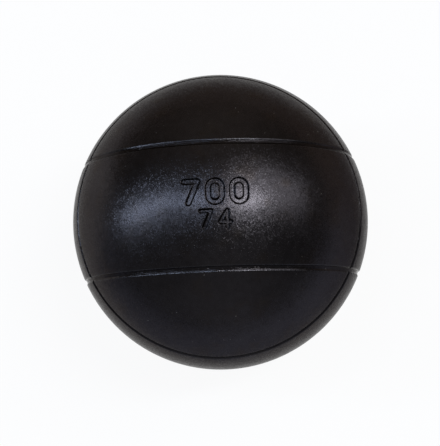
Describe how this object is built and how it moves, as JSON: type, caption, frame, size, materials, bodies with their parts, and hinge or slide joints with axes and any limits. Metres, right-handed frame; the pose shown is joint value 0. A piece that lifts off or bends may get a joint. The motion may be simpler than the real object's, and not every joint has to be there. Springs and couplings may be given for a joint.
{
  "type": "petanque boule",
  "caption": "Hollow steel throwing ball, welded from forged half shells and turned with crossed pairs of shallow grooves round its blackened outside.",
  "frame": {"origin": "centre of the ball", "axes": "+Z along the weld's axis, towards the marked half, +Y along the axis of the grooves that cross the weld"},
  "size_m": [0.074, 0.074, 0.074],
  "materials": {
    "blackened_steel": "satin",
    "blackened_weld": "satin"
  },
  "bodies": {
    "root": {"upper_half_shell": "blackened_steel", "lower_half_shell": "blackened_steel", "weld_bead": "blackened_weld"}
  },
  "joints": []
}
